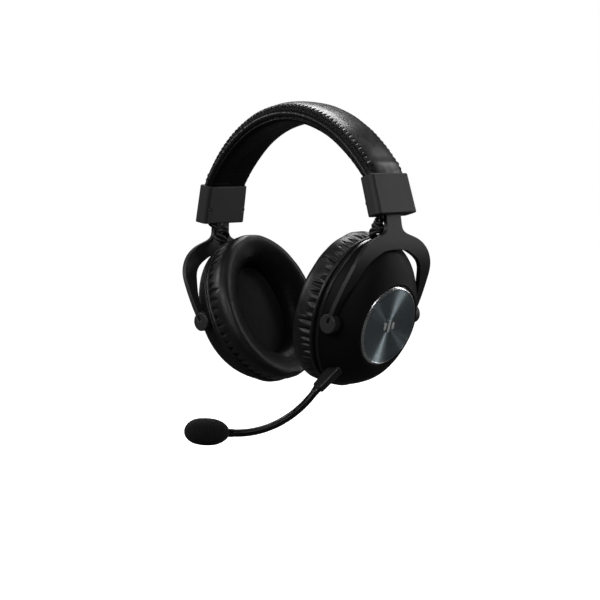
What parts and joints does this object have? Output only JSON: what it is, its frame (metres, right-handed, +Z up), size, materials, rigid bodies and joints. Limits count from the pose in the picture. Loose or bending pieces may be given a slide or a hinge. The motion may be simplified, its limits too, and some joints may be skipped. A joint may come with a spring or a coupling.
{
  "type": "gaming headset",
  "caption": "Over-ear gaming headset with padded sliding headband, tilting oval ear cups on forks, and a detachable flexible boom microphone with a foam windscreen.",
  "frame": {"origin": "lowest point of the headband's padded underside at the crown, where it rests on a head or a peg", "axes": "+X the wearer's left, -Y the wearer's front, +Z up the head"},
  "size_m": [0.1672, 0.1788, 0.2189],
  "materials": {
    "pad_leatherette": "semi-gloss black protein leather with a fine grain",
    "matte_black_plastic": "fine-textured matte black",
    "grey_coated_metal": "matte dark grey coating",
    "spring_steel": "bright rolled spring steel",
    "dark_screw_steel": "black oxide",
    "cable_jacket": "matte black",
    "dark_spun_metal": "dark anodised, spun, with a bright cut rim",
    "mark_silver": "satin silver",
    "magnet_plate": "nickel plated",
    "diaphragm_film": "thin dark film",
    "grille_steel": "black powder coat",
    "board_green": "solder mask",
    "plug_brass": "gold plated",
    "gooseneck_rubber": "finely ribbed black sleeve",
    "capsule_metal": "black",
    "mic_foam_fabric": "open-cell acoustic foam"
  },
  "bodies": {
    "headband": {"headband_pad": "pad_leatherette", "headband_spring": "spring_steel", "headband_wire": "cable_jacket", "block_screws": "dark_screw_steel", "click_springs": "spring_steel", "block_outer_left": "matte_black_plastic", "block_outer_right": "matte_black_plastic", "block_inner_left": "matte_black_plastic", "block_inner_right": "matte_black_plastic", "slider_guide_left": "matte_black_plastic", "slider_guide_right": "matte_black_plastic"},
    "slider_left": {"fork_left": "grey_coated_metal", "pivot_caps_left": "grey_coated_metal", "pivot_pins_left": "dark_screw_steel", "coiled_lead_left": "cable_jacket"},
    "cup_left": {"cup_shell_left": "matte_black_plastic", "disc_left": "dark_spun_metal", "level_mark_left": "mark_silver", "baffle_left": "matte_black_plastic", "cup_screws_left": "dark_screw_steel", "trim_ring_left": "matte_black_plastic", "pad_ring_left": "matte_black_plastic", "ear_pad_left": "pad_leatherette", "driver_frame_left": "matte_black_plastic", "driver_magnet_left": "magnet_plate", "diaphragm_left": "diaphragm_film", "driver_grille_left": "grille_steel", "lead_grommet_left": "cable_jacket", "jack_socket": "matte_black_plastic", "mic_socket": "matte_black_plastic", "circuit_board": "board_green"},
    "slider_right": {"fork_right": "grey_coated_metal", "pivot_caps_right": "grey_coated_metal", "pivot_pins_right": "dark_screw_steel", "coiled_lead_right": "cable_jacket"},
    "cup_right": {"cup_shell_right": "matte_black_plastic", "disc_right": "dark_spun_metal", "level_mark_right": "mark_silver", "baffle_right": "matte_black_plastic", "cup_screws_right": "dark_screw_steel", "trim_ring_right": "matte_black_plastic", "pad_ring_right": "matte_black_plastic", "ear_pad_right": "pad_leatherette", "driver_frame_right": "matte_black_plastic", "driver_magnet_right": "magnet_plate", "diaphragm_right": "diaphragm_film", "driver_grille_right": "grille_steel", "lead_grommet_right": "cable_jacket"},
    "microphone": {"mic_boot": "matte_black_plastic", "mic_plug": "plug_brass"},
    "boom_a": {"boom_link_1": "gooseneck_rubber"},
    "boom_b": {"boom_link_2": "gooseneck_rubber"},
    "boom_c": {"boom_link_3": "gooseneck_rubber"},
    "mic_head": {"boom_link_4": "gooseneck_rubber", "mic_capsule": "capsule_metal", "mic_foam": "mic_foam_fabric"}
  },
  "joints": [
    {"name": "adjust_left", "type": "hinge", "parent": "headband", "child": "slider_left", "pos_m": [-0.05141, 0, -0.08099], "axis": [0, 1, 0], "range_deg": [-3.08, 9.7], "deforming": ["coiled_lead_left"]},
    {"name": "tilt_left", "type": "hinge", "parent": "slider_left", "child": "cup_left", "pos_m": [0.057, 0, -0.1328], "axis": [0, -1, 0], "range_deg": [0, 20]},
    {"name": "adjust_right", "type": "hinge", "parent": "headband", "child": "slider_right", "pos_m": [0.05141, 0, -0.08099], "axis": [0, -1, 0], "range_deg": [-3.08, 9.7], "deforming": ["coiled_lead_right"]},
    {"name": "tilt_right", "type": "hinge", "parent": "slider_right", "child": "cup_right", "pos_m": [-0.057, 0, -0.1328], "axis": [0, 1, 0], "range_deg": [0, 20]},
    {"name": "mic_unplug", "type": "slide", "parent": "cup_left", "child": "microphone", "axis": [-0.2077, -0.77, -0.6033], "range_m": [0, 0.016]},
    {"name": "boom_pitch", "type": "hinge", "parent": "microphone", "child": "boom_a", "pos_m": [0.04012, -0.04287, -0.17906], "axis": [-0.9511, 0.309, 0], "range_deg": [-20, 20]},
    {"name": "boom_yaw", "type": "hinge", "parent": "boom_a", "child": "boom_b", "pos_m": [0.03511, -0.05829, -0.19065], "axis": [-0.1432, -0.4406, 0.8862], "range_deg": [-20, 20]},
    {"name": "boom_pitch_far", "type": "hinge", "parent": "boom_b", "child": "boom_c", "pos_m": [0.0293, -0.07615, -0.19735], "axis": [-0.9511, 0.309, 0], "range_deg": [-20, 20]},
    {"name": "boom_yaw_far", "type": "hinge", "parent": "boom_c", "child": "mic_head", "pos_m": [0.02316, -0.09507, -0.19865], "axis": [0.0228, 0.0701, 0.9973], "range_deg": [-20, 20]}
  ],
  "couplings": [
    {"joint": "boom_pitch_far", "follows": "boom_pitch", "ratio": 1},
    {"joint": "boom_yaw_far", "follows": "boom_yaw", "ratio": 1}
  ]
}
